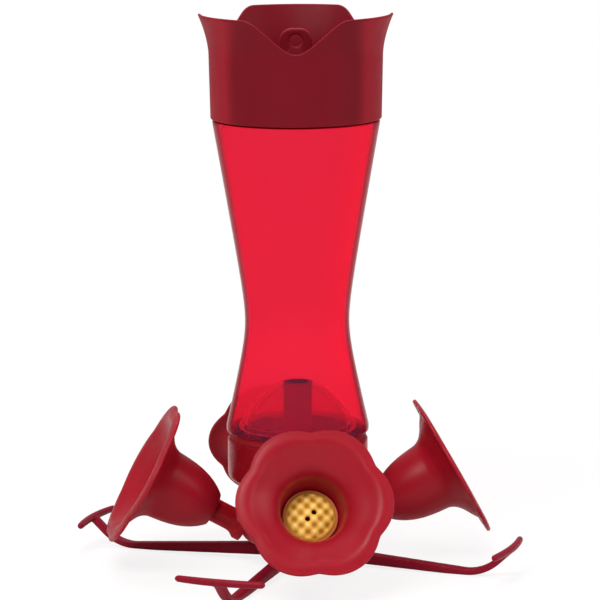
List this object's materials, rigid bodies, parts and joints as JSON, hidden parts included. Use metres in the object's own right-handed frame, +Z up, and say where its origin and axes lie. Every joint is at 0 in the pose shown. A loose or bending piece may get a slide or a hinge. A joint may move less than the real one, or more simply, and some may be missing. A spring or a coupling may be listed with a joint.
{
  "type": "hummingbird feeder",
  "caption": "Hanging nectar feeder: pinched red bottle over a hub with flower-shaped ports, bee guards, perches that turn a shut-off valve, and a crown-shaped screw cap.",
  "frame": {"origin": "centre of the footprint, on the surface that the perch arms stand on", "axes": "+Z up along the bottle's axis; one flower points towards -Y, which is the front"},
  "size_m": [0.1592, 0.1592, 0.2],
  "materials": {
    "cap_plastic": "smooth moulded plastic, dark translucent red",
    "bottle_plastic": "clear red, polished",
    "base_plastic": "smooth moulded plastic",
    "dome_plastic": "smooth moulded plastic, clear red",
    "rotor_plastic": "smooth moulded plastic",
    "perch_plastic": "smooth moulded plastic",
    "seal_rubber": "soft, dull",
    "ring_rubber": "soft, dull",
    "hardware_steel": "plain",
    "flower_plastic": "smooth moulded plastic, slightly translucent",
    "guard_plastic": "golden yellow, satin"
  },
  "bodies": {
    "base": {"base_hub": "base_plastic", "valve_dome": "dome_plastic", "flower_front": "flower_plastic", "flower_right": "flower_plastic", "flower_back": "flower_plastic", "flower_left": "flower_plastic"},
    "perches": {"perch_spider": "perch_plastic", "valve_rotor": "rotor_plastic", "shaft_o_ring": "ring_rubber", "perch_washer": "hardware_steel", "perch_screw": "hardware_steel"},
    "foot_seal": {"foot_gasket": "seal_rubber"},
    "bottle": {"bottle": "bottle_plastic"},
    "cap_seal": {"cap_gasket": "seal_rubber"},
    "cap": {"cap": "cap_plastic"},
    "guard_front": {"guard_front": "guard_plastic"},
    "guard_right": {"guard_right": "guard_plastic"},
    "guard_back": {"guard_back": "guard_plastic"},
    "guard_left": {"guard_left": "guard_plastic"}
  },
  "joints": [
    {"name": "valve_turn", "type": "hinge", "parent": "base", "child": "perches", "pos_m": [0, 0, 0.008], "axis": [0, 0, 1], "range_deg": [-19, 26]},
    {"name": "bottle_lift", "type": "slide", "parent": "base", "child": "foot_seal", "axis": [0, 0, 1], "range_m": [0, 0.008]},
    {"name": "bottle_turn", "type": "hinge", "parent": "foot_seal", "child": "bottle", "pos_m": [0, 0, 0.0487], "axis": [0, 0, 1], "range_deg": [0, 720]},
    {"name": "cap_lift", "type": "slide", "parent": "bottle", "child": "cap_seal", "axis": [0, 0, 1], "range_m": [0, 0.012]},
    {"name": "cap_turn", "type": "hinge", "parent": "cap_seal", "child": "cap", "pos_m": [0, 0, 0.1785], "axis": [0, 0, 1], "range_deg": [0, 1080]},
    {"name": "guard_front_pull", "type": "slide", "parent": "base", "child": "guard_front", "axis": [0, -0.8746, 0.4848], "range_m": [0, 0.024]},
    {"name": "guard_right_pull", "type": "slide", "parent": "base", "child": "guard_right", "axis": [0.8746, 0, 0.4848], "range_m": [0, 0.024]},
    {"name": "guard_back_pull", "type": "slide", "parent": "base", "child": "guard_back", "axis": [0, 0.8746, 0.4848], "range_m": [0, 0.024]},
    {"name": "guard_left_pull", "type": "slide", "parent": "base", "child": "guard_left", "axis": [-0.8746, 0, 0.4848], "range_m": [0, 0.024]}
  ],
  "couplings": [
    {"joint": "bottle_turn", "follows": "bottle_lift", "rad_per_m": 1570.8},
    {"joint": "cap_turn", "follows": "cap_lift", "rad_per_m": 1570.8}
  ]
}
